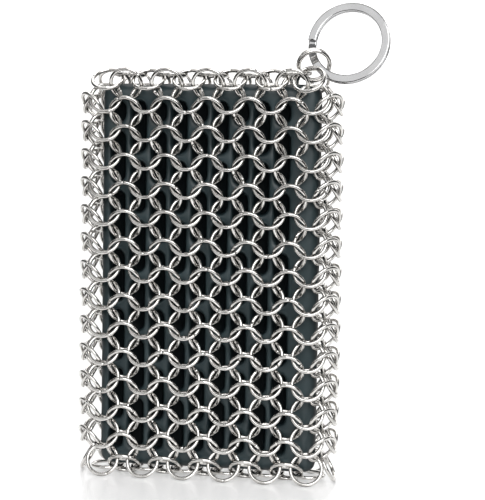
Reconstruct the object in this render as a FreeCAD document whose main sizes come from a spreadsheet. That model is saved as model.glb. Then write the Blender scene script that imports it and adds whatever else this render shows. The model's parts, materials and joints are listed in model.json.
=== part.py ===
import FreeCAD, Part
import math
import os

import Sketcher

# Chainmail pot scrubber: a slotted silicone core inside a pouch of linked steel rings,
# with a pair of hang links and a split ring at one top corner.
# The pad stands upright. X is its width, Y its depth with the front towards minus Y, Z its height.
# The middle of its standing face is the origin.

# Driving sizes: lengths in millimetres, angles in degrees
SIZES = (
    ("wire_diameter", 1.15),
    ("ring_inner_diameter", 8.25),
    ("ring_lean", 25.0),
    ("corner_yaw", 49.0),
    ("corner_lean", 35.0),
    ("side_lean", 28.0),
    ("top_edge_lean", 49.8),
    ("bottom_edge_lean", 49.8),
    ("core_width", 67.0),
    ("core_height", 117.4),
    ("core_edge_radius", 3.4),
    ("core_clearance", 0.25),
    ("slot_width", 4.5),
    ("slot_length", 15.9),
    ("slot_depth", 3.0),
    ("slot_rib", 1.8),
    ("slot_bar", 2.3),
    ("slot_left_border", 3.1),
    ("slot_right_border", 8.5),
    ("slot_end_border", 4.5),
    ("link_gap", 0.2),
    ("link_twist", 28.9),
    ("hang_edge_yaw", 13.8),
    ("hang_edge_lean", 38.1),
    ("hang_seam_roll", 5.3),
    ("split_outer_diameter", 25.0),
    ("split_wire_width", 2.5),
    ("split_wire_height", 1.0),
    ("split_wire_bevel", 0.2),
    ("split_coil_gap", 0.08),
    ("split_ramp_angle", 36.0),
    ("split_end_angle", 4.0),
    ("split_twist", -17.2),
    ("split_rise", 32.3),
    ("split_turn", 170.0),
    ("split_distance", 12.15),
)

# Places in the weave, as shares of the ring's mean radius
pouch_half_depth_share = 1.449
half_pitch_share = 1.336
row_pitch_share = 0.903
last_column_inset_share = 0.447
corner_step_share = 0.947
corner_depth_share = 0.991
corner_lift_share = 0.372
side_step_share = 1.245
top_edge_depth_share = 0.913
top_edge_lift_share = 0.3225
top_seam_lift_share = 0.6566
bottom_edge_depth_share = 0.913
bottom_edge_drop_share = 0.3225
bottom_seam_drop_share = 0.6566
link_side_share = 0.202
link_lift_share = 0.674
seam_room_share = 0.37
# How the last edge rings and the last seam ring move to let the hang links through
hang_edge_side_share = 0.306
hang_edge_depth_share = 0.268
hang_edge_lift_share = 0.031
hang_seam_lift_share = 0.081
# The largest edge rounding, as a share of the core's thickness
core_rounding_share = 0.45
# A step of a pattern with this value takes the pattern's own spacing
even_spacing = -1.0
# How far a finished volume may be from section times length
volume_share = 0.01
# The rows are shared over this many parts, so the list of parts stays the same for any height
mail_bands = 14

doc = FreeCAD.newDocument("pot_scrubber")
sheet = doc.addObject("Spreadsheet::Sheet", "Sizes")
for line, (alias, value) in enumerate(SIZES, start=1):
    sheet.set("A%d" % line, alias)
    sheet.set("B%d" % line, str(value))
    sheet.setAlias("B%d" % line, alias)
doc.recompute()


def size(alias):
    return float(sheet.get(alias))


RING_RADIUS_TEXT = "(Sizes.ring_inner_diameter + Sizes.wire_diameter) / 2"
WIRE_RADIUS_TEXT = "Sizes.wire_diameter / 2"
CORE_THICKNESS_TEXT = (
    "2 * (%s * %s - %s * sin(Sizes.ring_lean * 1 deg) - %s - Sizes.core_clearance)"
    % (pouch_half_depth_share, RING_RADIUS_TEXT, RING_RADIUS_TEXT, WIRE_RADIUS_TEXT)
)
SLOT_PITCH_TEXT = "Sizes.slot_width + Sizes.slot_rib"
SLOT_ROW_TEXT = "Sizes.slot_length + Sizes.slot_bar"

ring_radius = (size("ring_inner_diameter") + size("wire_diameter")) / 2
wire_radius = size("wire_diameter") / 2
ring_lean = math.radians(size("ring_lean"))
up = FreeCAD.Vector(0, 0, 1)


# Weave layout: where each column and row of rings sits
class Weave:
    def __init__(self):
        self.face_depth = pouch_half_depth_share * ring_radius
        self.last_column = size("core_width") / 2 - last_column_inset_share * ring_radius
        self.columns = self.column_places()
        self.first_row = ring_radius * math.cos(ring_lean) + wire_radius
        self.bottom_seam = self.first_row - bottom_seam_drop_share * ring_radius
        self.core_bottom = self.bottom_seam + wire_radius + size("core_clearance")
        self.core_top = self.core_bottom + size("core_height")
        seam_room = wire_radius + size("core_clearance") + seam_room_share * ring_radius
        self.top_seam = self.core_top + seam_room
        self.last_row = self.top_seam - top_seam_lift_share * ring_radius
        self.rows = self.row_places()

    def column_places(self):
        # Outer and inner columns take turns, and an outer one comes first and last
        span = 2 * self.last_column
        steps = 2 * max(1, round(span / (2 * half_pitch_share * ring_radius)))
        return [-self.last_column + span * step / steps for step in range(steps + 1)]

    def row_places(self):
        # Rows pair up into waves, so the number of steps between first and last is odd
        span = self.last_row - self.first_row
        steps = 2 * round((span / (row_pitch_share * ring_radius) - 1) / 2) + 1
        return [self.first_row + span * step / steps for step in range(steps + 1)]

    def outer_columns(self):
        return self.columns[0::2]

    def inner_columns(self):
        return self.columns[1::2]


weave = Weave()


# Rings
def ring_axis(yaw, lean):
    along = FreeCAD.Vector(math.cos(yaw), math.sin(yaw), 0)
    outward = FreeCAD.Vector(math.sin(yaw), -math.cos(yaw), 0)
    across = up * math.cos(lean) + outward * math.sin(lean)
    return along.cross(across)


def make_ring(name, centre, axis):
    ring = doc.addObject("Part::Torus", name)
    ring.setExpression("Radius1", RING_RADIUS_TEXT)
    ring.setExpression("Radius2", WIRE_RADIUS_TEXT)
    ring.Placement = FreeCAD.Placement(centre, FreeCAD.Rotation(up, axis))
    return ring


def front_and_back(name, place, depth, height, lean):
    # One ring on the front face and its twin on the back
    front = FreeCAD.Vector(place, -depth, height)
    back = FreeCAD.Vector(place, depth, height)
    return [
        make_ring(name + "_front", front, ring_axis(0, lean)),
        make_ring(name + "_back", back, ring_axis(math.pi, lean)),
    ]


def corner_rings(name, height):
    # Four rings that turn the weave round the upright edges
    yaw = math.radians(size("corner_yaw"))
    lean = math.radians(size("corner_lean"))
    place = weave.last_column + corner_step_share * ring_radius
    depth = corner_depth_share * ring_radius
    lifted = height + corner_lift_share * ring_radius
    rings = []
    for side, side_name in ((1, "right"), (-1, "left")):
        for face, face_name in ((1, "front"), (-1, "back")):
            turn = side * yaw if face > 0 else math.pi - side * yaw
            centre = FreeCAD.Vector(side * place, -face * depth, lifted)
            label = "%s_corner_%s_%s" % (name, side_name, face_name)
            rings.append(make_ring(label, centre, ring_axis(turn, lean)))
    return rings


def side_rings(name, height):
    # One ring in the middle of each narrow side
    lean = math.radians(size("side_lean"))
    place = weave.last_column + side_step_share * ring_radius
    rings = []
    for side, side_name in ((1, "right"), (-1, "left")):
        centre = FreeCAD.Vector(side * place, 0, height)
        axis = ring_axis(side * math.pi / 2, -lean)
        rings.append(make_ring("%s_side_%s" % (name, side_name), centre, axis))
    return rings


def group(name, rings):
    node = doc.addObject("Part::Compound", name)
    node.Links = rings
    node.Label = name
    return node


def row_rings(number, height):
    # Odd rows lean out at the bottom and even rows at the top, so each two make one wave
    # The last row has no corner rings, so the pouch narrows at its top corners
    name = "row_%02d" % number
    rings = []
    if number % 2:
        for index, place in enumerate(weave.outer_columns()):
            label = "%s_ring_%02d" % (name, index)
            rings += front_and_back(label, place, weave.face_depth, height, -ring_lean)
        rings += side_rings(name, height)
    else:
        for index, place in enumerate(weave.inner_columns()):
            label = "%s_ring_%02d" % (name, index)
            rings += front_and_back(label, place, weave.face_depth, height, ring_lean)
        if number < len(weave.rows):
            rings += corner_rings(name, height)
    return rings


def make_bands():
    # Neighbouring rows, one wave to a band at the nominal height
    bands = [[] for band in range(mail_bands)]
    for index, height in enumerate(weave.rows):
        bands[index * mail_bands // len(weave.rows)] += row_rings(index + 1, height)
    return [group("mail_band_%02d" % number, rings) for number, rings in enumerate(bands, start=1)]


def make_top_edge():
    lean = math.radians(size("top_edge_lean"))
    depth = top_edge_depth_share * ring_radius
    height = weave.last_row + top_edge_lift_share * ring_radius
    rings = []
    for index, place in enumerate(weave.outer_columns()[:-1]):
        rings += front_and_back("top_edge_%02d" % index, place, depth, height, -lean)
    rings += hang_edge_rings(weave.outer_columns()[-1], depth, height)
    return group("top_edge_rings", rings)


def hang_edge_rings(place, depth, height):
    # The last two edge rings open outwards, so that the hang links pass between them
    yaw = math.radians(size("hang_edge_yaw"))
    lean = math.radians(size("hang_edge_lean"))
    drawn_in = place - hang_edge_side_share * ring_radius
    spread = depth + hang_edge_depth_share * ring_radius
    raised = height + hang_edge_lift_share * ring_radius
    front = FreeCAD.Vector(drawn_in, -spread, raised)
    back = FreeCAD.Vector(drawn_in, spread, raised)
    return [
        make_ring("hang_edge_front", front, ring_axis(-yaw, -lean)),
        make_ring("hang_edge_back", back, ring_axis(math.pi + yaw, -lean)),
    ]


def make_bottom_edge():
    lean = math.radians(size("bottom_edge_lean"))
    depth = bottom_edge_depth_share * ring_radius
    height = weave.first_row - bottom_edge_drop_share * ring_radius
    rings = []
    for index, place in enumerate(weave.inner_columns()):
        rings += front_and_back("bottom_edge_%02d" % index, place, depth, height, lean)
    return group("bottom_edge_rings", rings)


def seam_rings(name, places, height):
    # Rings that lie flat along the middle and close the pouch
    rings = []
    for index, place in enumerate(places):
        centre = FreeCAD.Vector(place, 0, height)
        rings.append(make_ring("%s_%02d" % (name, index), centre, up))
    return rings


def make_bottom_seam():
    rings = seam_rings("bottom_seam", weave.outer_columns(), weave.bottom_seam)
    return group("bottom_seam_rings", rings)


def make_top_seam():
    # The last ring is drawn up on its outer side by the hang links
    places = weave.inner_columns()
    rings = seam_rings("top_seam", places[:-1], weave.top_seam)
    roll = math.radians(size("hang_seam_roll"))
    raised = weave.top_seam + hang_seam_lift_share * ring_radius
    axis = FreeCAD.Vector(-math.sin(roll), 0, math.cos(roll))
    rings.append(make_ring("hang_seam", FreeCAD.Vector(places[-1], 0, raised), axis))
    return group("top_seam_rings", rings)


# Silicone core
def origin_plane(body, role):
    for feature in body.Origin.OriginFeatures:
        if feature.Role == role:
            return feature
    raise RuntimeError("no plane " + role)


def add_sketch(body, name):
    sketch = body.newObject("Sketcher::SketchObject", name)
    sketch.AttachmentSupport = (origin_plane(body, "XZ_Plane"), [""])
    sketch.MapMode = "FlatFace"
    return sketch


def draw_outline(sketch):
    # A rectangle that stands on the base line, the same to left and right
    half = size("core_width") / 2
    height = size("core_height")
    corners = (
        FreeCAD.Vector(-half, 0, 0),
        FreeCAD.Vector(half, 0, 0),
        FreeCAD.Vector(half, height, 0),
        FreeCAD.Vector(-half, height, 0),
    )
    for index in range(4):
        sketch.addGeometry(Part.LineSegment(corners[index], corners[(index + 1) % 4]), False)
    for index in range(4):
        sketch.addConstraint(Sketcher.Constraint("Coincident", index, 2, (index + 1) % 4, 1))
    sketch.addConstraint(Sketcher.Constraint("Horizontal", 2))
    sketch.addConstraint(Sketcher.Constraint("Vertical", 1))
    sketch.addConstraint(Sketcher.Constraint("Vertical", 3))
    sketch.addConstraint(Sketcher.Constraint("Symmetric", 0, 1, 0, 2, -1, 1))
    width_index = sketch.addConstraint(Sketcher.Constraint("DistanceX", 0, 1, 0, 2, size("core_width")))
    sketch.setExpression("Constraints[%d]" % width_index, "Sizes.core_width")
    height_index = sketch.addConstraint(Sketcher.Constraint("DistanceY", 1, 1, 1, 2, height))
    sketch.setExpression("Constraints[%d]" % height_index, "Sizes.core_height")


def draw_slot(sketch, length, length_text):
    # An upright slot with round ends about the sketch's own origin
    radius = size("slot_width") / 2
    reach = length / 2 - radius
    top = FreeCAD.Vector(0, reach, 0)
    bottom = FreeCAD.Vector(0, -reach, 0)
    normal = FreeCAD.Vector(0, 0, 1)
    upper = Part.ArcOfCircle(Part.Circle(top, normal, radius), 0, math.pi)
    lower = Part.ArcOfCircle(Part.Circle(bottom, normal, radius), math.pi, 2 * math.pi)
    left = Part.LineSegment(FreeCAD.Vector(-radius, reach, 0), FreeCAD.Vector(-radius, -reach, 0))
    right = Part.LineSegment(FreeCAD.Vector(radius, -reach, 0), FreeCAD.Vector(radius, reach, 0))
    for edge in (upper, left, lower, right):
        sketch.addGeometry(edge, False)
    sketch.addConstraint(Sketcher.Constraint("Tangent", 0, 2, 1, 1))
    sketch.addConstraint(Sketcher.Constraint("Tangent", 1, 2, 2, 1))
    sketch.addConstraint(Sketcher.Constraint("Tangent", 2, 2, 3, 1))
    sketch.addConstraint(Sketcher.Constraint("Tangent", 3, 2, 0, 1))
    sketch.addConstraint(Sketcher.Constraint("Symmetric", 0, 3, 2, 3, -1, 1))
    sketch.addConstraint(Sketcher.Constraint("Vertical", 1))
    radius_index = sketch.addConstraint(Sketcher.Constraint("Radius", 0, radius))
    sketch.setExpression("Constraints[%d]" % radius_index, "Sizes.slot_width / 2")
    reach_index = sketch.addConstraint(Sketcher.Constraint("DistanceY", 2, 3, 0, 3, 2 * reach))
    sketch.setExpression("Constraints[%d]" % reach_index, "%s - Sizes.slot_width" % length_text)


def cut_slots(body, name, face, column, columns, low_text, length_text, length, rows, row_text):
    # One slot, cut to its depth from a face and repeated over its columns and rows
    sketch = add_sketch(body, name + "_sketch")
    draw_slot(sketch, length, length_text)
    across_text = "-Sizes.core_width / 2 + Sizes.slot_left_border + Sizes.slot_width / 2 + %d * (%s)" % (
        column,
        SLOT_PITCH_TEXT,
    )
    sketch.setExpression("AttachmentOffset.Base.x", across_text)
    sketch.setExpression("AttachmentOffset.Base.y", "%s + (%s) / 2" % (low_text, length_text))
    sketch.setExpression("AttachmentOffset.Base.z", "%d * (%s) / 2" % (face, CORE_THICKNESS_TEXT))
    pocket = body.newObject("PartDesign::Pocket", name)
    pocket.Profile = sketch
    pocket.setExpression("Length", "Sizes.slot_depth")
    pocket.Reversed = face < 0
    doc.recompute()
    pattern = body.newObject("PartDesign::LinearPattern", name + "_pattern")
    pattern.Originals = [pocket]
    pattern.Direction = (sketch, ["H_Axis"])
    pattern.Mode = "Spacing"
    pattern.setExpression("Offset", "2 * (%s)" % SLOT_PITCH_TEXT)
    pattern.Occurrences = columns
    pattern.Direction2 = (sketch, ["V_Axis"])
    pattern.Mode2 = "Spacing"
    pattern.setExpression("Offset2", row_text)
    pattern.Occurrences2 = rows
    pattern.Spacings2 = [even_spacing] * (rows - 1)
    body.Tip = pattern
    doc.recompute()


def make_core():
    body = doc.addObject("PartDesign::Body", "silicone_core")
    body.Label = "silicone_core"
    outline = add_sketch(body, "core_outline")
    draw_outline(outline)
    slab = body.newObject("PartDesign::Pad", "core_slab")
    slab.Profile = outline
    slab.setExpression("Length", CORE_THICKNESS_TEXT)
    slab.Midplane = True
    doc.recompute()
    rounding = body.newObject("PartDesign::Fillet", "core_rounding")
    rounding.Base = (slab, ["Edge%d" % (index + 1) for index in range(len(slab.Shape.Edges))])
    most_text = "%s * (%s)" % (core_rounding_share, CORE_THICKNESS_TEXT)
    rounding.setExpression("Radius", "min(Sizes.core_edge_radius; %s)" % most_text)
    doc.recompute()

    field = size("core_width") - size("slot_left_border") - size("slot_right_border")
    columns = int((field + size("slot_rib")) // (size("slot_width") + size("slot_rib")))
    tall = size("core_height") - 2 * size("slot_end_border")
    rows = int((tall + size("slot_bar")) // (size("slot_length") + size("slot_bar")))
    field_text = "(%d * (%s) - Sizes.slot_bar)" % (rows, SLOT_ROW_TEXT)
    low_text = "(Sizes.core_height - %s) / 2" % field_text
    stagger_text = "%s + (%s) / 2" % (low_text, SLOT_ROW_TEXT)
    half_text = "(Sizes.slot_length - Sizes.slot_bar) / 2"
    half = (size("slot_length") - size("slot_bar")) / 2
    far_text = "%s - %s" % (field_text, half_text)
    first_set = (columns + 1) // 2
    second_set = columns // 2
    for face, face_name in ((1, "front"), (-1, "back")):
        before = body.Shape.Volume
        cut_slots(
            body, face_name + "_staggered_slots", face, 0, first_set,
            stagger_text, "Sizes.slot_length", size("slot_length"), rows - 1, SLOT_ROW_TEXT,
        )
        cut_slots(
            body, face_name + "_half_slots", face, 0, first_set,
            low_text, half_text, half, 2, far_text,
        )
        cut_slots(
            body, face_name + "_full_slots", face, 1, second_set,
            low_text, "Sizes.slot_length", size("slot_length"), rows, SLOT_ROW_TEXT,
        )
        if not body.Shape.Volume < before:
            raise RuntimeError("the slots cut nothing from the " + face_name)
    body.Placement = FreeCAD.Placement(FreeCAD.Vector(0, 0, weave.core_bottom), FreeCAD.Rotation())
    return body


# Hang links and split ring
def hang_frame():
    # The line from the links' centre to the split ring's centre, and the links' centre itself
    hook = weave.inner_columns()[-1] + ring_radius
    centre = FreeCAD.Vector(
        hook + link_side_share * ring_radius, 0, weave.top_seam + link_lift_share * ring_radius
    )
    rise = math.radians(size("split_rise"))
    line = FreeCAD.Vector(math.cos(rise), 0, math.sin(rise))
    return centre, line


def twisted_axis(line, twist):
    # The front direction turned about the line between the centres
    return FreeCAD.Rotation(line, twist).multVec(FreeCAD.Vector(0, -1, 0))


def make_hang_links():
    centre, line = hang_frame()
    axis = twisted_axis(line, size("link_twist"))
    offset = wire_radius + size("link_gap") / 2
    rings = []
    for side, side_name in ((1, "front"), (-1, "back")):
        rings.append(make_ring("hang_link_" + side_name, centre + axis * side * offset, axis))
    return group("hang_links", rings)


def draw_wire_section(sketch):
    # A flat wire's section with bevelled corners, clear of the ring's bore
    outer = size("split_outer_diameter") / 2
    inner = outer - size("split_wire_width")
    high = size("split_wire_height")
    bevel = size("split_wire_bevel")
    points = (
        FreeCAD.Vector(inner + bevel, 0, 0),
        FreeCAD.Vector(outer - bevel, 0, 0),
        FreeCAD.Vector(outer, bevel, 0),
        FreeCAD.Vector(outer, high - bevel, 0),
        FreeCAD.Vector(outer - bevel, high, 0),
        FreeCAD.Vector(inner + bevel, high, 0),
        FreeCAD.Vector(inner, high - bevel, 0),
        FreeCAD.Vector(inner, bevel, 0),
    )
    count = len(points)
    for index in range(count):
        sketch.addGeometry(Part.LineSegment(points[index], points[(index + 1) % count]), False)
    for index in range(count):
        sketch.addConstraint(Sketcher.Constraint("Coincident", index, 2, (index + 1) % count, 1))
    for flat in (0, 4):
        sketch.addConstraint(Sketcher.Constraint("Horizontal", flat))
    for upright in (2, 6):
        sketch.addConstraint(Sketcher.Constraint("Vertical", upright))
    sketch.addConstraint(Sketcher.Constraint("PointOnObject", 0, 1, -1))
    measures = [
        ("DistanceX", (-1, 1, 2, 1), outer, "Sizes.split_outer_diameter / 2"),
        ("DistanceX", (6, 1, 2, 1), outer - inner, "Sizes.split_wire_width"),
        ("DistanceY", (0, 1, 4, 1), high, "Sizes.split_wire_height"),
    ]
    # Each bevel runs as far along the face as it does across
    for edge, first_x, first_y in ((1, 1, 1), (3, 2, 1), (5, 2, 2), (7, 1, 2)):
        measures.append(("DistanceX", (edge, first_x, edge, 3 - first_x), bevel, "Sizes.split_wire_bevel"))
        measures.append(("DistanceY", (edge, first_y, edge, 3 - first_y), bevel, "Sizes.split_wire_bevel"))
    for kind, ends, value, text in measures:
        index = sketch.addConstraint(Sketcher.Constraint(kind, *ends, value))
        sketch.setExpression("Constraints[%d]" % index, text)


def add_coil(body, name, sketch, reverse):
    # Most of a turn of flat wire, short of the ramp by the gap at its end
    coil = body.newObject("PartDesign::Revolution", name)
    coil.Profile = sketch
    coil.ReferenceAxis = (origin_plane(body, "Z_Axis"), [""])
    coil.setExpression("Angle", "360 - Sizes.split_ramp_angle - Sizes.split_end_angle")
    coil.Reversed = reverse
    doc.recompute()
    return coil


def make_split_ring():
    # Two turns of flat wire, joined by a ramp that climbs from one turn to the other
    body = doc.addObject("PartDesign::Body", "split_ring")
    body.Label = "split_ring"
    lower = add_sketch(body, "lower_coil_section")
    draw_wire_section(lower)
    lower.setExpression("AttachmentOffset.Base.y", "-Sizes.split_wire_height - Sizes.split_coil_gap / 2")
    upper = add_sketch(body, "upper_coil_section")
    draw_wire_section(upper)
    upper.AttachmentOffset = FreeCAD.Placement(
        FreeCAD.Vector(), FreeCAD.Rotation(FreeCAD.Vector(0, 1, 0), size("split_ramp_angle"))
    )
    upper.setExpression("AttachmentOffset.Base.y", "Sizes.split_coil_gap / 2")
    doc.recompute()
    add_coil(body, "lower_coil", lower, True)
    ramp = body.newObject("PartDesign::AdditiveHelix", "coil_ramp")
    ramp.Profile = lower
    ramp.ReferenceAxis = (origin_plane(body, "Z_Axis"), [""])
    ramp.Mode = "height-turns-angle"
    ramp.setExpression("Height", "Sizes.split_wire_height + Sizes.split_coil_gap")
    ramp.setExpression("Turns", "Sizes.split_ramp_angle / 360")
    doc.recompute()
    add_coil(body, "upper_coil", upper, False)
    turned = 2 * (360 - size("split_ramp_angle") - size("split_end_angle")) + size("split_ramp_angle")
    section = lower.Shape.Faces[0].Area if lower.Shape.Faces else Part.Face(lower.Shape.Wires[0]).Area
    middle = (size("split_outer_diameter") - size("split_wire_width")) / 2
    expected = math.radians(turned) * middle * section
    if abs(body.Shape.Volume / expected - 1) > volume_share:
        raise RuntimeError("the split ring's turns overlap or are missing")
    centre, line = hang_frame()
    axis = twisted_axis(line, size("split_twist"))
    spin = FreeCAD.Rotation(up, size("split_turn"))
    body.Placement = FreeCAD.Placement(
        centre + line * size("split_distance"), FreeCAD.Rotation(up, axis).multiply(spin)
    )
    return body


core = make_core()
bands = make_bands()
top_edge = make_top_edge()
bottom_edge = make_bottom_edge()
top_seam = make_top_seam()
bottom_seam = make_bottom_seam()
links = make_hang_links()
split_ring = make_split_ring()

nodes = [core] + bands + [top_edge, bottom_edge, top_seam, bottom_seam, links, split_ring]
doc.recompute()
for item in doc.Objects:
    if "Invalid" in item.State or "Error" in item.State:
        raise RuntimeError("%s did not recompute: %s" % (item.Name, item.State))
for node in nodes:
    if node.Shape.isNull() or not node.Shape.isValid():
        raise RuntimeError("%s has no valid shape" % node.Label)

os.makedirs("parts", exist_ok=True)
for node in nodes:
    node.Shape.exportStep("parts/%s.step" % node.Label)
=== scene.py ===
import json
import math
import random

import bpy
import numpy as np
from mathutils import Matrix, Vector


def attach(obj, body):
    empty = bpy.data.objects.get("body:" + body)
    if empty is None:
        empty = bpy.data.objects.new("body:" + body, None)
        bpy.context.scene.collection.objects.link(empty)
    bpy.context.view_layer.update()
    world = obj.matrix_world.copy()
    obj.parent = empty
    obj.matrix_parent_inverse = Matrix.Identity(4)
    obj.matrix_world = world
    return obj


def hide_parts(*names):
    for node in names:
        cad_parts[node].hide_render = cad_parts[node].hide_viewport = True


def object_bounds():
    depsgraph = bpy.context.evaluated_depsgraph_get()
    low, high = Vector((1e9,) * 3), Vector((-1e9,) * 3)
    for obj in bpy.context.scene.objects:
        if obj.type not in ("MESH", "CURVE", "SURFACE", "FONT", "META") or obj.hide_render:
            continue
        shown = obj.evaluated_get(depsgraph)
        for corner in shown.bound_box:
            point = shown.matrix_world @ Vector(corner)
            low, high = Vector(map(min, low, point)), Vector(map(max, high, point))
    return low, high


# Chainmail pot scrubber: bright wire rings around a dark slotted silicone core, with a split ring.
# Lengths are in metres, angles in degrees.

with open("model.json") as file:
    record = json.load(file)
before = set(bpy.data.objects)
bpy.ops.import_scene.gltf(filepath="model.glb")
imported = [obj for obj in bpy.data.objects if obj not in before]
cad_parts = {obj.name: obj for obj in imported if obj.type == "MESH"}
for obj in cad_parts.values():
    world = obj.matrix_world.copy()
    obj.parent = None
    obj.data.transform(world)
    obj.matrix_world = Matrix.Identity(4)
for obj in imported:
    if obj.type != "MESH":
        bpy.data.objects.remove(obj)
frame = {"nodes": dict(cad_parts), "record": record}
cad_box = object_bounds()
nodes = frame["nodes"]
bodies = frame["record"]["behaviour"]["bodies"]
slot_of = {part["node"]: part["material_slot"] for part in frame["record"]["subparts"]}
body_of = {node: body for body, members in bodies.items() for node in members}
MILLIMETRE = 0.001

# Wire rings: how finely a hoop is drawn, and how its two cut ends meet
hoop_steps = 60
wire_sides = 12
cut_gap = 0.05 * MILLIMETRE
cut_bevel = 0.09 * MILLIMETRE
cut_bevel_share = 0.8
cut_mismatch = 0.1 * MILLIMETRE
mismatch_reach = 50.0
drawn_wire_share = 0.99
seed = 7
wire_map = "wire"


# Reading the rings from the frame
def mesh_arrays(mesh):
    points = np.empty(len(mesh.vertices) * 3, np.float32)
    mesh.vertices.foreach_get("co", points)
    ends = np.empty(len(mesh.edges) * 2, np.int32)
    mesh.edges.foreach_get("vertices", ends)
    return points.reshape(-1, 3).astype(float), ends.reshape(-1, 2)


def separate_solids(mesh):
    # The vertices of each solid follow each other, so a solid ends where no edge reaches on
    points, ends = mesh_arrays(mesh)
    open_edges = np.zeros(len(points) + 1, int)
    np.add.at(open_edges, ends.min(axis=1), 1)
    np.add.at(open_edges, ends.max(axis=1), -1)
    last = np.flatnonzero(np.cumsum(open_edges)[:-1] == 0)
    return np.split(points, last[:-1] + 1)


def fit_ring(points):
    # Centre, two directions in the ring's plane, its axis, and its mean and wire radius
    middle = points.mean(axis=0)
    along, across, axis = np.linalg.svd(points - middle, full_matrices=False)[2]
    local = (points - middle) @ np.array([along, across, axis]).T
    shift = (local.max(axis=0) + local.min(axis=0)) / 2
    centre = middle + shift @ np.array([along, across, axis])
    reach = np.linalg.norm(local[:, :2] - shift[:2], axis=1)
    mean_radius = (reach.max() + reach.min()) / 2
    wire_radius = (reach.max() - reach.min()) / 2
    return centre, along, across, axis, mean_radius, wire_radius


# Drawing the rings
def hoop_angles(mean_radius):
    # Even steps round the hoop, with one more at each cut end for its bevel
    gap = cut_gap / mean_radius
    bevel = cut_bevel / mean_radius
    first = gap / 2
    last = math.tau - gap / 2
    even = np.linspace(first + bevel, last - bevel, hoop_steps)
    return np.concatenate([[first], even, [last]])


def hoop_loops(ring, start, spring):
    # The first end springs out of the ring's plane by the given amount, and the other stays
    centre, along, across, axis, mean_radius, wire_radius = ring
    angles = hoop_angles(mean_radius)
    thick = np.full(len(angles), wire_radius * drawn_wire_share)
    thick[0] *= cut_bevel_share
    thick[-1] *= cut_bevel_share
    from_end = np.clip(1 - angles / math.radians(mismatch_reach), 0, 1)
    outward = np.cos(angles + start)[:, None] * along + np.sin(angles + start)[:, None] * across
    round_wire = np.linspace(0, math.tau, wire_sides, endpoint=False)
    radial = mean_radius + thick[:, None] * np.cos(round_wire)
    height = spring * from_end[:, None]**2 + thick[:, None] * np.sin(round_wire)
    return centre + radial[:, :, None] * outward[:, None, :] + height[:, :, None] * axis


def in_cad_box(points):
    low, high = np.array(cad_box)
    flat = points.reshape(-1, 3)
    return bool((flat >= low).all() and (flat <= high).all())


def cut_hoop(ring, dice):
    # The end springs to the other side, or not at all, where it would leave the CAD box
    start = dice.uniform(0, math.tau)
    spring = dice.uniform(-1, 1) * cut_mismatch
    for side in (1, -1):
        points = hoop_loops(ring, start, side * spring)
        if in_cad_box(points):
            return points
    return hoop_loops(ring, start, 0)


def hoop_faces():
    # The sides of the wire, and then one flat face at each cut end
    faces = []
    last_loop = hoop_steps + 1
    for step in range(last_loop):
        here = step * wire_sides
        ahead = here + wire_sides
        for side in range(wire_sides):
            beyond = (side + 1) % wire_sides
            faces.append((here + side, ahead + side, ahead + beyond, here + beyond))
    faces.append(tuple(range(wire_sides)))
    end = last_loop * wire_sides
    faces.append(tuple(end + side for side in reversed(range(wire_sides))))
    return faces


def hoop_map(ring_number, mean_radius, wire_radius):
    # Distance along the wire and round it, with each ring's own stretch of the pattern
    places = []
    angles = hoop_angles(mean_radius)
    begin = ring_number * math.tau * mean_radius
    for step in range(len(angles) - 1):
        near = begin + angles[step] * mean_radius
        far = begin + angles[step + 1] * mean_radius
        for side in range(wire_sides):
            low = side / wire_sides * math.tau * wire_radius
            high = (side + 1) / wire_sides * math.tau * wire_radius
            places += [(near, low), (far, low), (far, high), (near, high)]
    for angle in (angles[0], angles[-1]):
        places += [(begin + angle * mean_radius, 0)] * wire_sides
    return places


def draw_rings(node, dice):
    # One piece per node: every ring of the node, in its place
    rings = [fit_ring(points) for points in separate_solids(nodes[node].data)]
    pattern = hoop_faces()
    points = []
    faces = []
    places = []
    for number, ring in enumerate(rings):
        begin = len(points)
        *_, mean_radius, wire_radius = ring
        points += cut_hoop(ring, dice).reshape(-1, 3).tolist()
        faces += [tuple(begin + index for index in face) for face in pattern]
        places += hoop_map(number, mean_radius, wire_radius)
    mesh = bpy.data.meshes.new(node + "_wire")
    mesh.from_pydata(points, [], faces)
    layer = mesh.uv_layers.new(name=wire_map)
    layer.data.foreach_set("uv", np.array(places, np.float32).ravel())
    cut_ends = {len(pattern) - 1, len(pattern) - 2}
    smooth = [index % len(pattern) not in cut_ends for index in range(len(faces))]
    mesh.polygons.foreach_set("use_smooth", smooth)
    mesh.update()
    piece = bpy.data.objects.new(node + "_wire", mesh)
    bpy.context.scene.collection.objects.link(piece)
    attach(piece, body_of[node])
    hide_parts(node)
    return piece


# Spans of levels: nearly all of a noise, a share, and the way from straight down to straight up
noise_span = (0.3, 0.7)
share_span = (0, 1)
height_span = (-1, 1)

# Mail wire, with its tones as noise levels and their colours
mail_line_scale = 900
mail_line_detail = 3
mail_line_stretch = (0.25, 3, 1)
mail_cloud_scale = 260
mail_cloud_detail = 2
mail_tones = (
    (0.3, (0.52, 0.505, 0.485)),
    (0.55, (0.78, 0.765, 0.74)),
    (0.75, (0.88, 0.865, 0.84)),
)
mail_roughness = (0.06, 0.16)
mail_bump = 0.12
mail_bump_height = 0.02 * MILLIMETRE

# Painted shade between wires, with the openness at which it is darkest and at which it is gone
shade_reach = 0.9 * MILLIMETRE
shade_span = (0.25, 0.85)
shade_samples = 8
painted_shade_colour = (0.16, 0.15, 0.14)

# Split ring
ring_scuff_scale = 3000
ring_scuff_detail = 3
ring_cloud_scale = 180
ring_cloud_detail = 2
ring_tones = (
    (0.3, (0.62, 0.62, 0.625)),
    (0.7, (0.68, 0.68, 0.685)),
)
ring_roughness = (0.1, 0.18)
ring_bump = 0.02
ring_bump_height = 0.02 * MILLIMETRE
ring_edge_angle = 40.0
ring_edge_width = 0.2 * MILLIMETRE
ring_edge_steps = 3
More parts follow.
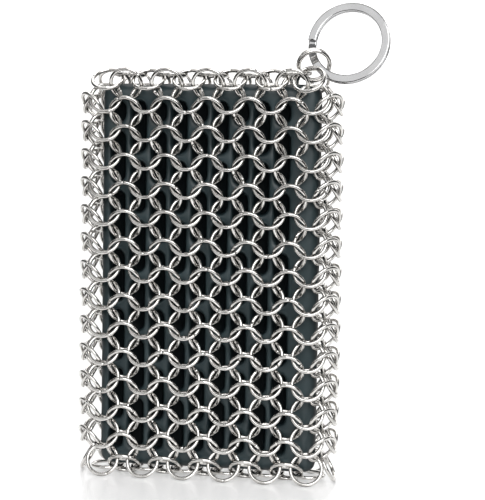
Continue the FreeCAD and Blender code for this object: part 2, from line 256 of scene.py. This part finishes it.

# Silicone core, with its levels as distances from its middle plane
# Painted shade: from the face level down to the slot floor level the colour goes to the slot shade
# colour
slot_floor_level = 1.2 * MILLIMETRE
core_face_level = 3.9 * MILLIMETRE
slot_shade_colour = (0.004, 0.006, 0.007)
core_cloud_scale = 90
core_cloud_detail = 3
core_grain_scale = 2600
core_grain_detail = 2
core_tones = (
    (0.3, (0.022, 0.039, 0.044)),
    (0.7, (0.046, 0.072, 0.08)),
)
core_shine = (0.05, 0.5)
core_roughness = (0.28, 0.42)
core_bump = 0.15
core_bump_height = 0.03 * MILLIMETRE
core_mesh_size = 0.6 * MILLIMETRE
core_smoothing = 0.5
core_smoothing_steps = 12

# Vertices of the CAD meshes that lie this close are one
joining_distance = 0.002 * MILLIMETRE


# Material nodes
def new_material(name):
    material = bpy.data.materials.new(name)
    material.use_nodes = True
    shader = material.node_tree.nodes["Principled BSDF"]
    return material, material.node_tree, shader


def add_noise(tree, source, scale, detail, stretch=(1, 1, 1)):
    mapping = tree.nodes.new("ShaderNodeMapping")
    mapping.inputs["Scale"].default_value = stretch
    noise = tree.nodes.new("ShaderNodeTexNoise")
    noise.inputs["Scale"].default_value = scale
    noise.inputs["Detail"].default_value = detail
    tree.links.new(source, mapping.inputs["Vector"])
    tree.links.new(mapping.outputs["Vector"], noise.inputs["Vector"])
    return noise.outputs["Fac"]


def add_ramp(tree, source, stops):
    ramp = tree.nodes.new("ShaderNodeValToRGB")
    elements = ramp.color_ramp.elements
    while len(elements) < len(stops):
        elements.new(1)
    for element, (place, colour) in zip(elements, stops):
        element.position = place
        element.color = (*colour, 1)
    tree.links.new(source, ramp.inputs["Fac"])
    return ramp.outputs["Color"]


def add_range(tree, source, given, wanted):
    # Levels over the given span become levels over the wanted one
    change = tree.nodes.new("ShaderNodeMapRange")
    change.inputs["From Min"].default_value = given[0]
    change.inputs["From Max"].default_value = given[1]
    change.inputs["To Min"].default_value = wanted[0]
    change.inputs["To Max"].default_value = wanted[1]
    tree.links.new(source, change.inputs["Value"])
    return change.outputs["Result"]


def add_bump(tree, source, strength, distance):
    bump = tree.nodes.new("ShaderNodeBump")
    bump.inputs["Strength"].default_value = strength
    bump.inputs["Distance"].default_value = distance
    tree.links.new(source, bump.inputs["Height"])
    return bump.outputs["Normal"]


def add_mix(tree, share, dark, colour):
    # The dark colour where the share is zero, and the other where it is one
    mix = tree.nodes.new("ShaderNodeMix")
    mix.data_type = "RGBA"
    mix.inputs["A"].default_value = (*dark, 1)
    tree.links.new(share, mix.inputs["Factor"])
    tree.links.new(colour, mix.inputs["B"])
    return mix.outputs["Result"]


def add_math(tree, operation, *sources):
    step = tree.nodes.new("ShaderNodeMath")
    step.operation = operation
    for place, source in enumerate(sources):
        tree.links.new(source, step.inputs[place])
    return step.outputs["Value"]


def add_part(tree, source, letter):
    # One coordinate of a place or direction
    split = tree.nodes.new("ShaderNodeSeparateXYZ")
    tree.links.new(source, split.inputs["Vector"])
    return split.outputs[letter]


def link_surface(tree, shader, colour, roughness, normal):
    tree.links.new(colour, shader.inputs["Base Color"])
    tree.links.new(roughness, shader.inputs["Roughness"])
    tree.links.new(normal, shader.inputs["Normal"])


# Materials
def add_painted_shade(tree, colour):
    # Painted shade: the colour goes dark where wires meet, by ambient occlusion
    openness = tree.nodes.new("ShaderNodeAmbientOcclusion")
    openness.samples = shade_samples
    openness.inputs["Distance"].default_value = shade_reach
    unshaded_share = add_range(tree, openness.outputs["AO"], shade_span, share_span)
    return add_mix(tree, unshaded_share, painted_shade_colour, colour)


def mail_steel():
    # Bright drawn wire, tumbled: faint lines along the wire and a slightly warm, uneven tone, with
    # painted shade where wires meet
    material, tree, shader = new_material("mail_steel")
    place = tree.nodes.new("ShaderNodeTexCoord").outputs["UV"]
    lines = add_noise(tree, place, mail_line_scale, mail_line_detail, mail_line_stretch)
    cloud = add_noise(tree, place, mail_cloud_scale, mail_cloud_detail)
    # Painted shade is laid over the wire's tone where wires meet
    colour = add_painted_shade(tree, add_ramp(tree, cloud, mail_tones))
    roughness = add_range(tree, lines, noise_span, mail_roughness)
    normal = add_bump(tree, lines, mail_bump, mail_bump_height)
    shader.inputs["Metallic"].default_value = 1
    link_surface(tree, shader, colour, roughness, normal)
    return material


def ring_steel():
    # Polished, plated spring steel with fine scuffs
    material, tree, shader = new_material("ring_steel")
    place = tree.nodes.new("ShaderNodeTexCoord").outputs["Object"]
    scuffs = add_noise(tree, place, ring_scuff_scale, ring_scuff_detail)
    cloud = add_noise(tree, place, ring_cloud_scale, ring_cloud_detail)
    colour = add_ramp(tree, cloud, ring_tones)
    roughness = add_range(tree, scuffs, noise_span, ring_roughness)
    normal = add_bump(tree, scuffs, ring_bump, ring_bump_height)
    shader.inputs["Metallic"].default_value = 1
    link_surface(tree, shader, colour, roughness, normal)
    return material


def silicone():
    # Dark slate silicone with a fine moulded grain, with painted shade darkening it down in the
    # slots, where it is also duller
    material, tree, shader = new_material("silicone")
    place = tree.nodes.new("ShaderNodeTexCoord").outputs["Object"]
    cloud = add_noise(tree, place, core_cloud_scale, core_cloud_detail)
    grain = add_noise(tree, place, core_grain_scale, core_grain_detail)
    # Painted shade: the colour darkens with depth below the face, towards the slot floors
    from_middle = add_math(tree, "ABSOLUTE", add_part(tree, place, "Y"))
    level = add_range(tree, from_middle, (slot_floor_level, core_face_level), share_span)
    colour = add_mix(tree, level, slot_shade_colour, add_ramp(tree, cloud, core_tones))
    roughness = add_range(tree, cloud, noise_span, core_roughness)
    normal = add_bump(tree, grain, core_bump, core_bump_height)
    shine = add_range(tree, level, share_span, core_shine)
    tree.links.new(shine, shader.inputs["Specular IOR Level"])
    link_surface(tree, shader, colour, roughness, normal)
    return material


def dress(piece, material):
    piece.data.materials.clear()
    piece.data.materials.append(material)


# Soft edges
def join_faces(piece):
    joined = piece.modifiers.new("joined_faces", "WELD")
    joined.merge_threshold = joining_distance


def soften_ring(piece):
    # The flat wire's long edges are rounded, and its faces stay level
    join_faces(piece)
    edge = piece.modifiers.new("soft_edges", "BEVEL")
    edge.limit_method = "ANGLE"
    edge.angle_limit = math.radians(ring_edge_angle)
    edge.width = ring_edge_width
    edge.segments = ring_edge_steps
    edge.use_clamp_overlap = False
    piece.modifiers.new("level_faces", "WEIGHTED_NORMAL")


def soften_core(piece):
    # Moulded silicone has no sharp edge: a fine even mesh is smoothed, which rounds its edges
    join_faces(piece)
    even = piece.modifiers.new("even_mesh", "REMESH")
    even.mode = "VOXEL"
    even.voxel_size = core_mesh_size
    even.use_smooth_shade = True
    smooth = piece.modifiers.new("soft_edges", "SMOOTH")
    smooth.factor = core_smoothing
    smooth.iterations = core_smoothing_steps


# Stage: the backdrop's sizes, its colour, and how bright it is to a camera or a mirror
floor_front = -0.14
floor_half = 0.7
wall_distance = 0.6
wall_height = 1.0
bend_radius = 0.3
bend_steps = 12
backdrop_colour = (0.86, 0.86, 0.86)
backdrop_roughness = 0.25
glow_colour = (1, 1, 1)
floor_glow = 0.3
wall_glow = 0.9

# Softboxes: name, place, width and height, and watts
softboxes = (
    ("key", (0.3, -0.8, 0.5), (0.9, 0.8), 7.2),
    ("fill", (-0.5, -0.8, 0.5), (0.8, 0.8), 1.6),
    ("top", (0.0, 0.15, 0.8), (0.8, 0.5), 2.6),
)

# Room: shares of the way from straight down to straight up, and their greys
room_tones = (
    (0.45, (0.02, 0.02, 0.02)),
    (0.6, (0.06, 0.06, 0.06)),
    (1, (0.2, 0.2, 0.2)),
)


def add_seen(tree):
    # One where a camera, a mirror or a clear body looks straight at the surface
    path = tree.nodes.new("ShaderNodeLightPath")
    seen = path.outputs["Is Camera Ray"]
    for ray in ("Is Glossy Ray", "Is Transmission Ray"):
        seen = add_math(tree, "MAXIMUM", seen, path.outputs[ray])
    return seen


def backdrop_white():
    # Pale card that is seen as white, and still takes the object's shadow
    material, tree, shader = new_material("backdrop")
    place = tree.nodes.new("ShaderNodeTexCoord").outputs["Object"]
    height = add_part(tree, place, "Z")
    glow = add_range(tree, height, (0, bend_radius), (floor_glow, wall_glow))
    strength = add_math(tree, "MULTIPLY", glow, add_seen(tree))
    shader.inputs["Base Color"].default_value = (*backdrop_colour, 1)
    shader.inputs["Roughness"].default_value = backdrop_roughness
    shader.inputs["Emission Color"].default_value = (*glow_colour, 1)
    tree.links.new(strength, shader.inputs["Emission Strength"])
    return material


def make_backdrop():
    # A pale floor that curves up into a wall behind the object
    profile = [(floor_front, 0), (wall_distance - bend_radius, 0)]
    for step in range(1, bend_steps + 1):
        turn = step / bend_steps * math.pi / 2
        depth = wall_distance - bend_radius + bend_radius * math.sin(turn)
        profile.append((depth, bend_radius * (1 - math.cos(turn))))
    profile.append((wall_distance, wall_height))
    points = []
    for side in (-floor_half, floor_half):
        points += [(side, depth, height) for depth, height in profile]
    count = len(profile)
    faces = [(step, step + count, step + count + 1, step + 1) for step in range(count - 1)]
    mesh = bpy.data.meshes.new("backdrop")
    mesh.from_pydata(points, [], faces)
    mesh.polygons.foreach_set("use_smooth", [True] * len(faces))
    backdrop = bpy.data.objects.new("backdrop", mesh)
    bpy.context.scene.collection.objects.link(backdrop)
    dress(backdrop, backdrop_white())


def make_lights(target):
    # Large, soft and near, so that their mirror images in the wire aren't harsh
    for name, place, (width, height), watts in softboxes:
        lamp = bpy.data.lights.new(name, "AREA")
        lamp.shape = "RECTANGLE"
        lamp.size = width
        lamp.size_y = height
        lamp.energy = watts
        box = bpy.data.objects.new(name, lamp)
        box.location = place
        box.rotation_euler = (Vector(target) - Vector(place)).to_track_quat("-Z", "Y").to_euler()
        bpy.context.scene.collection.objects.link(box)


def make_world():
    # A dim room, a little brighter overhead
    world = bpy.data.worlds.new("studio")
    world.use_nodes = True
    bpy.context.scene.world = world
    tree = world.node_tree
    direction = tree.nodes.new("ShaderNodeTexCoord").outputs["Generated"]
    height = add_range(tree, add_part(tree, direction, "Z"), height_span, share_span)
    tree.links.new(add_ramp(tree, height, room_tones), tree.nodes["Background"].inputs["Color"])


# Camera: a picture 500 pixels high, taken from a little to the right and above
image_long_side = 500
focal_pixels = 1308
view_azimuth = 10.27
view_elevation = 4.69
view_distance = 0.4
view_roll = 0.91
middle_height = 0.063
aim_right = 0.0099
aim_up = 0.0067


def make_camera():
    azimuth = math.radians(view_azimuth)
    elevation = math.radians(view_elevation)
    back = Vector((
        math.sin(azimuth) * math.cos(elevation),
        -math.cos(azimuth) * math.cos(elevation),
        math.sin(elevation),
    ))
    middle = Vector((0, 0, middle_height))
    side = Vector((math.cos(azimuth), math.sin(azimuth), 0))
    aim = middle + side * aim_right + Vector((0, 0, aim_up))
    place = middle + back * view_distance
    data = bpy.data.cameras.new("camera")
    data.lens = focal_pixels / image_long_side * data.sensor_width
    camera = bpy.data.objects.new("camera", data)
    turn = (aim - place).to_track_quat("-Z", "Y").to_matrix().to_4x4()
    roll = Matrix.Rotation(math.radians(view_roll), 4, "Z")
    camera.matrix_world = Matrix.Translation(place) @ turn @ roll
    bpy.context.scene.collection.objects.link(camera)
    bpy.context.scene.camera = camera


# Putting it together
dice = random.Random(seed)
finishes = {"mail_steel": mail_steel(), "ring_steel": ring_steel(), "silicone": silicone()}
for node in sorted(nodes):
    if slot_of[node] == "mail_steel":
        dress(draw_rings(node, dice), finishes["mail_steel"])
    else:
        dress(nodes[node], finishes[slot_of[node]])

soften_core(nodes["silicone_core"])
soften_ring(nodes["split_ring"])

make_backdrop()
make_lights((0, 0, middle_height))
make_world()
make_camera()
bpy.context.scene.view_settings.view_transform = "Standard"
